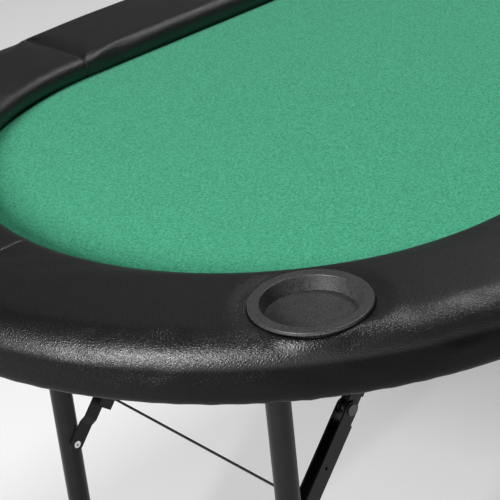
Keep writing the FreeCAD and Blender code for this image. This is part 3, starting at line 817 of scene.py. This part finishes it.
def slack_pad(panel, shift):
    """The unfilled pad, as a tube of quads, and the points that are held."""
    points = []
    rings = panel_rings(panel.length)
    for distance in rings:
        middle, facing = panel.ring(distance)
        section = np.concatenate([slack_section(distance, panel, shift), BACK])
        for radius, height in section:
            points.append((*(middle + facing * radius), height))
    around = len(SKIN) + len(BACK)
    pad = piece_from("rail_pad_" + panel.name, points, ring_faces(len(rings), around))
    section = np.concatenate([SKIN, BACK, SKIN[:1]])
    girth = np.concatenate([[0], np.cumsum(np.linalg.norm(np.diff(section, axis=0), axis=1))])
    hide = pad.data.uv_layers.new(name="hide")
    corner = 0
    for ring in range(len(rings) - 1):
        for step in range(around):
            after = ring + 1
            for along, across in ((ring, step), (ring, step + 1), (after, step + 1), (after, step)):
                hide.data[corner].uv = (rings[along] + shift, girth[across])
                corner += 1
    last = len(SKIN) - 1
    held = []
    for index in range(len(points)):
        ring, step = divmod(index, around)
        if ring in (0, len(rings) - 1) or step < 1 or step > last - HEM_POINTS:
            held.append(index)
    crease = pad.data.attributes.new("crease_edge", "FLOAT", "EDGE")
    for edge in pad.data.edges:
        steps = [vertex % around for vertex in edge.vertices]
        corner_edge = steps[0] == steps[1] and (steps[0] >= last or steps[0] == 0)
        crease.data[edge.index].value = 1.0 if corner_edge else 0.0
    return pad, held


def fill(pad, held):
    """Fills the pad: the cover swells between its seams, its staples and the
    felt, no further than its stretch allows."""
    group = pad.vertex_groups.new(name="held")
    group.add(held, 1.0, "REPLACE")
    before = np.array([vertex.co for vertex in pad.data.vertices])
    cover = pad.modifiers.new("cover", "CLOTH")
    cover.settings.quality = 5
    cover.settings.mass = 0.35
    cover.settings.tension_stiffness = 20
    cover.settings.compression_stiffness = 20
    cover.settings.shear_stiffness = 8
    cover.settings.bending_stiffness = 4
    cover.settings.use_pressure = True
    cover.settings.uniform_pressure_force = FILL_PRESSURE
    cover.settings.effector_weights.gravity = 0
    cover.settings.vertex_group_mass = "held"
    cover.point_cache.frame_start = 1
    cover.point_cache.frame_end = FILL_FRAMES
    scene = bpy.context.scene
    for step in range(1, FILL_FRAMES + 1):
        scene.frame_set(step)
    filled = pad.evaluated_get(bpy.context.evaluated_depsgraph_get())
    after = np.array([vertex.co for vertex in filled.data.vertices])
    pad.modifiers.remove(cover)
    scene.frame_set(1)
    moved = after - before
    far = np.linalg.norm(moved, axis=1)[:, None] + 1e-9
    capped = before + moved / far * (FILL_CAP * np.tanh(far / FILL_CAP))
    pad.data.vertices.foreach_set("co", capped.astype(np.float32).ravel())
    pad.data.update()


def eased(amount):
    """0 to 1, starting and ending gently."""
    amount = min(1.0, max(0.0, amount))
    return amount * amount * (3 - 2 * amount)


def seat_cups(pad):
    """Draws the cover flat under each cup holder's rim and down into its pocket."""
    seat = RAIL_TOP - CUP_SEAT
    for node in CUPS:
        low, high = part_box(node)
        middle = (low + high) / 2
        rim = (high.x - low.x) / 2
        for vertex in pad.data.vertices:
            away = math.hypot(vertex.co.x - middle.x, vertex.co.y - middle.y)
            if away > rim + CUP_SEAT_REACH or vertex.co.z < RAIL_BOARD_TOP + 2 * PAD_CLEARANCE:
                continue
            below = seat - vertex.co.z
            if below < 0:
                vertex.co.z += below * (1 - eased((away - rim) / CUP_SEAT_REACH))
            else:
                vertex.co.z += below * CUP_SEAT_LIFT * (1 - eased((away - rim) / CUP_LIFT_REACH))
            vertex.co.z -= POCKET_DEPTH * eased((rim - CUP_RIM_OVERLAP - away) / POCKET_WALL)


def close_ends(pad):
    """Closes the two cut ends, where the panels are sewn to each other."""
    work = bmesh.new()
    work.from_mesh(pad.data)
    rim = [edge for edge in work.edges if edge.is_boundary]
    ends = bmesh.ops.holes_fill(work, edges=rim)["faces"]
    bmesh.ops.triangulate(work, faces=ends)
    bmesh.ops.recalc_face_normals(work, faces=work.faces)
    work.to_mesh(pad.data)
    work.free()


def rail_pad(panel, shift):
    """One rail panel with its foam: cut, filled, seated under the cups, closed."""
    pad, held = slack_pad(panel, shift)
    fill(pad, held)
    finer = pad.modifiers.new("finer", "SUBSURF")
    finer.levels = 1
    finer.render_levels = 1
    pad = made_plain(pad, "rail_pad_" + panel.name)
    seat_cups(pad)
    close_ends(pad)
    dress(pad, "rail_leather")
    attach(pad, "table_top")
    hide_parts("rail_cover_" + panel.name, "rail_foam_" + panel.name)


# Seams


def seam_path():
    """The lines that the panels are sewn along, a little under the skin."""
    sunk = SKIN - outward(SKIN) * (SEAM_TUCK * 0.45)
    shown = sunk[1 : 1 - HEM_POINTS]
    points = []
    edges = []
    for panel in PANELS:
        middle, facing = panel.ring(0.0)
        start = len(points)
        points += [(*(middle + facing * radius), height) for radius, height in shown]
        edges += [(step, step + 1) for step in range(start, len(points) - 1)]
    return piece_from("seam_path", points, edges=edges)


def seam_stitches():
    """The rows of stitches where the rail panels meet."""
    pattern = beads_pattern("stitches")
    stitches = pattern.run(
        seam_path(),
        "rail_stitches",
        Pitch=STITCH_PITCH,
        Length=STITCH_LENGTH,
        Thickness=THREAD,
        Uneven=0.08,
        Finish=FINISHES["seam_thread"],
    )
    dress(stitches, "rail_leather", "seam_thread")
    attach(stitches, "table_top")


# The felt


def felt_outline(radius):
    """Points round an oval of a radius, the same number for every radius."""
    half_turn = np.linspace(-math.pi / 2, math.pi / 2, FELT_STEPS + 1)
    right = [(HALF_STRAIGHT + radius * math.cos(a), radius * math.sin(a)) for a in half_turn]
    across = np.linspace(HALF_STRAIGHT, -HALF_STRAIGHT, FELT_STEPS + 1)[1:-1]
    back = [(x, radius) for x in across]
    left = [(-x, -y) for x, y in right]
    front = [(-x, -y) for x, y in back]
    return right + back + left + front


def felt_cloth():
    """The felt, pulled flat over its underlay and tucked under the rail."""
    radii = list(np.linspace(0, FOOT_RADIUS - 6 * MM, FELT_RINGS))
    radii += [FOOT_RADIUS - 3 * MM, FOOT_RADIUS, FELT_RADIUS]
    points = []
    for radius in radii:
        pressed = FELT_PRESS * eased((radius - FOOT_RADIUS + PRESS_START) / PRESS_RUN)
        for x, y in felt_outline(radius):
            slub = math.sin(x * 31 + 2 * math.sin(y * 17)) * math.sin(y * 29 + math.sin(x * 13))
            points.append((x, y, FELT_TOP - FELT_SINK - pressed + SLUB_HEIGHT * slub))
    faces = ring_faces(len(radii), len(points) // len(radii))
    cloth = piece_from("felt_playing_surface", points, faces)
    turn_outward(cloth.data, SAME_POINT)
    if sum(face.normal.z for face in cloth.data.polygons) < 0:
        cloth.data.flip_normals()
    thick = cloth.modifiers.new("thickness", "SOLIDIFY")
    thick.thickness = FELT_TOP - UNDERLAY_TOP - FELT_PRESS
    thick.offset = -1
    cloth = made_plain(cloth, "felt_playing_surface")
    dress(cloth, "green_felt")
    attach(cloth, "table_top")
    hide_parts("felt_cloth")


# Fixings


def staple():
    """A wire staple seen from its crown, its legs going up into the board."""
    half = STAPLE_WIDTH / 2
    leg = STAPLE_LEG
    bend = STAPLE_BEND
    line = [(-half, leg), (-half, bend)]
    line += [(-half + bend - bend * math.cos(a), bend - bend * math.sin(a)) for a in (0.5, 1.05)]
    line += [(-half + bend, 0), (half - bend, 0)]
    line += [(half - bend + bend * math.sin(a), bend - bend * math.cos(a)) for a in (0.5, 1.05)]
    line += [(half, bend), (half, leg)]
    sides = 8
    points = []
    for index, (x, z) in enumerate(line):
        before = line[max(index - 1, 0)]
        after = line[min(index + 1, len(line) - 1)]
        run = Vector((after[0] - before[0], after[1] - before[1])).normalized()
        for side in range(sides):
            turn = 2 * math.pi * side / sides
            off = STAPLE_WIRE * math.cos(turn)
            points.append((x - run.y * off, STAPLE_WIRE * math.sin(turn), z + run.x * off))
    faces = ring_faces(len(line), sides)
    faces.append(range(sides))
    faces.append(range(len(points) - 1, len(points) - sides - 1, -1))
    made = piece_from("staple", points, faces)
    turn_outward(made.data)
    return made


def cross_head(radius, height, shank, length):
    """A pan-head screw pointing up, with a cross recess in its head."""
    rows = [(0, -height), (radius * 0.55, -height), (radius * 0.86, -height * 0.8)]
    rows += [(radius, -height * 0.42), (radius, 0)]
    rows += [(shank, 0), (shank, length - 2 * shank), (0, length)]
    sides = 24
    points = []
    for r, z in rows:
        points += [
            (r * math.cos(2 * math.pi * k / sides), r * math.sin(2 * math.pi * k / sides), z)
            for k in range(sides)
        ]
    screw = piece_from("screw", points, ring_faces(len(rows), sides))
    turn_outward(screw.data, SAME_POINT)
    arm = radius * 0.6
    width = radius * 0.13
    for long, wide in ((arm, width), (width, arm)):
        blade = bmesh.new()
        bmesh.ops.create_cube(blade, size=2.0)
        size = Matrix.Diagonal((long, wide, height * 0.62, 1))
        blade.transform(Matrix.Translation((0, 0, -height)) @ size)
        mesh = bpy.data.meshes.new("recess")
        blade.to_mesh(mesh)
        blade.free()
        recess = bpy.data.objects.new("recess", mesh)
        bpy.context.scene.collection.objects.link(recess)
        cut = screw.modifiers.new("recess", "BOOLEAN")
        cut.operation = "DIFFERENCE"
        cut.object = recess
        screw = made_plain(screw, "screw")
        bpy.data.objects.remove(recess)
    return screw


def set_fixings(pattern, fixing, name, node, height, apart, turn_of):
    """Puts a fixing at each place where the CAD node has one."""
    places = centres_of(node, apart)
    path = piece_from(name + "_places", [(place.x, place.y, height) for place in places])
    turns = path.data.attributes.new("turn", "FLOAT", "POINT")
    turns.data.foreach_set("value", [turn_of(place) for place in places])
    made = pattern.run(path, name, Fixing=fixing, Finish=FINISHES["zinc_steel"])
    dress(made, "zinc_steel", smooth=False)
    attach(made, "table_top")
    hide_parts(node)
    bpy.data.objects.remove(fixing)


def along_edge(place):
    """The direction of the table's edge beside a place, as a turn about Z."""
    past = max(0.0, abs(place.x) - HALF_STRAIGHT)
    across = Vector((math.copysign(past, place.x), place.y))
    ragged = 0.16 * math.sin(place.x * 91 + place.y * 57)
    return math.atan2(across.y, across.x) + math.pi / 2 + ragged


def any_turn(place):
    """The angle a screw happened to stop at, a different one at each place."""
    return place.x * 37 + place.y * 53


def fixings():
    """The hem's staples and the heads of both kinds of screw."""
    pattern = fixings_pattern("fixings")
    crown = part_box("cover_staples")[1].z - STAPLE_WIRE
    set_fixings(pattern, staple(), "hem_staples", "cover_staples", crown, 12 * MM, along_edge)
    for node, name in (("rail_screws", "rail_screw_heads"), ("bracket_screws", "bracket_screw_heads")):
        low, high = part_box(node)
        head = SCREW_HEAD_HEIGHT
        screw = cross_head(SCREW_HEAD_RADIUS, head, SCREW_SHANK_RADIUS, high.z - low.z - head)
        set_fixings(pattern, screw, name, node, low.z + head, 10 * MM, any_turn)


# Welds of the leg frames


def saddle(middle, tube_radius, leg_y, leg_radius):
    """The line where a cross tube meets a leg's round side."""
    loop = []
    toward = 1 if leg_y > 0 else -1
    for step in range(48):
        turn = 2 * math.pi * step / 48
        x = tube_radius * math.cos(turn)
        depth = math.sqrt(max(leg_radius**2 - x * x, 0.0))
        loop.append((middle.x + x, leg_y - toward * depth, middle.z + tube_radius * math.sin(turn)))
    return loop


def welds(end):
    """The fillet welds between one end's tubes and its legs."""
    points = []
    edges = []
    for side in ("front", "back"):
        leg_low, leg_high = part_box("leg_tube_" + end + "_" + side)
        leg_radius = (leg_high.x - leg_low.x) / 2
        leg_y = (leg_low.y + leg_high.y) / 2
        for tube in ("hinge_tube_", "cross_tube_"):
            low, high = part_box(tube + end)
            radius = (high.z - low.z) / 2
            start = len(points)
            loop = saddle((low + high) / 2, min(radius, leg_radius - 0.4 * MM), leg_y, leg_radius)
            points += loop
            edges += [(start + k, start + (k + 1) % len(loop)) for k in range(len(loop))]
    path = piece_from("weld_path_" + end, points, edges=edges)
    made = beads_pattern("weld").run(
        path,
        "weld_beads_" + end,
        Pitch=WELD_PITCH,
        Length=WELD_SIZE * 1.5,
        Thickness=WELD_SIZE * 2,
        Uneven=0.16,
        Finish=FINISHES["leg_paint"],
    )
    dress(made, "leg_paint")
    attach(made, "leg_frame_" + end)


# Finishes of the CAD pieces that show as they are

CARRIED = {
    "base_board": "black_board",
    "edge_frame": "black_board",
    "rail_boards": "plywood",
    "felt_underlay": "foam",
    "cup_holder_": "cup_plastic",
    "hinge_brackets": "brace_paint",
    "brace_brackets": "brace_paint",
    "brace_pins": "pin_steel",
    "leg_tube_": "leg_paint",
    "hinge_tube_": "leg_paint",
    "cross_tube_": "leg_paint",
    "foot_cap_": "foot_rubber",
    "upper_link_": "brace_paint",
    "lower_link_": "brace_paint",
    "knee_pins_": "pin_steel",
    "leg_rivets_": "rivet_steel",
    "brace_rivets_": "rivet_steel",
    "tie_rod_": "pin_steel",
}


def coat_carried_pieces():
    """Gives the CAD pieces that show as they are their finishes."""
    for name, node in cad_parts.items():
        for start, finish in CARRIED.items():
            if name.startswith(start):
                node.data.materials.clear()
                node.data.materials.append(FINISHES[finish])
                for polygon in node.data.polygons:
                    polygon.material_index = 0


# The studio: a pale floor and three soft lights

FLOOR_REACH = 30


def floor():
    """A pale matt floor that reaches out of sight."""
    far = FLOOR_REACH
    corners = [(-far, -far, 0), (far, -far, 0), (far, far, 0), (-far, far, 0)]
    made = piece_from("floor", corners, [(0, 1, 2, 3)])
    finish = Finish("pale_floor")
    shade = finish.noise(finish.on_object(), 0.7, 2.0)
    tone = finish.blend(shade, grey(0.80), grey(0.84))
    made.data.materials.append(
        finish.shade(
            Base_Color=tone,
            Roughness=0.9,
            Specular_IOR_Level=0.0,
            Emission_Color=(1, 1, 1, 1),
            Emission_Strength=0.18,
        )
    )


def softbox(name, place, aim, size, power):
    """A rectangular soft light of so many watts at a place, facing an aim."""
    light = bpy.data.lights.new(name, "AREA")
    light.shape = "RECTANGLE"
    light.size, light.size_y = size
    light.energy = power
    made = bpy.data.objects.new(name, light)
    made.location = place
    made.rotation_euler = (Vector(aim) - Vector(place)).to_track_quat("-Z", "Y").to_euler()
    bpy.context.scene.collection.objects.link(made)


def studio():
    """The lights and the faint light of the room."""
    scene = bpy.context.scene
    scene.view_settings.view_transform = "Standard"
    world = bpy.data.worlds.new("studio")
    world.use_nodes = True
    sky = world.node_tree.nodes["Background"].inputs
    sky["Color"].default_value = (0.9, 0.92, 0.95, 1)
    sky["Strength"].default_value = 0.10
    scene.world = world
    left_end = (-HALF_STRAIGHT, 0, RAIL_TOP)
    softbox("key", (-3.66, -0.83, 2.17), left_end, (1.1, 1.1), 190)
    softbox("top", (1.6, -0.2, 4.0), (0.3, 0, RAIL_TOP), (1.0, 1.0), 70)
    softbox("back", (1.9, 2.7, 1.7), (-0.3, OUTER_RADIUS, RAIL_TOP), (2.2, 0.6), 1.6)


# The camera stands off the left front corner, at a standing person's height

CAMERA_PLACE = Vector((-1.5554, -1.2232, 1.4520))
CAMERA_HEADING = math.radians(49.443)
CAMERA_DIP = math.radians(27.751)
CAMERA_TILT = math.radians(-6.056)
CAMERA_LENS = 122.09
CAMERA_SENSOR = 36.0


def camera():
    """Looks along the heading and down by the dip, rolled by the tilt."""
    data = bpy.data.cameras.new("camera")
    data.sensor_width = CAMERA_SENSOR
    data.lens = CAMERA_LENS
    forward = Vector(
        (
            math.cos(CAMERA_DIP) * math.cos(CAMERA_HEADING),
            math.cos(CAMERA_DIP) * math.sin(CAMERA_HEADING),
            -math.sin(CAMERA_DIP),
        )
    )
    level = Vector((math.sin(CAMERA_HEADING), -math.cos(CAMERA_HEADING), 0))
    up = level.cross(forward)
    right = level * math.cos(CAMERA_TILT) + up * math.sin(CAMERA_TILT)
    above = up * math.cos(CAMERA_TILT) - level * math.sin(CAMERA_TILT)
    turn = Matrix((right, above, -forward)).transposed()
    made = bpy.data.objects.new("camera", data)
    made.matrix_world = Matrix.Translation(CAMERA_PLACE) @ turn.to_4x4()
    bpy.context.scene.collection.objects.link(made)
    bpy.context.scene.camera = made


coat_carried_pieces()
for number, panel in enumerate(PANELS):
    rail_pad(panel, 0.7 * number)
seam_stitches()
felt_cloth()
fixings()
for end in ("left", "right"):
    welds(end)
floor()
studio()
camera()
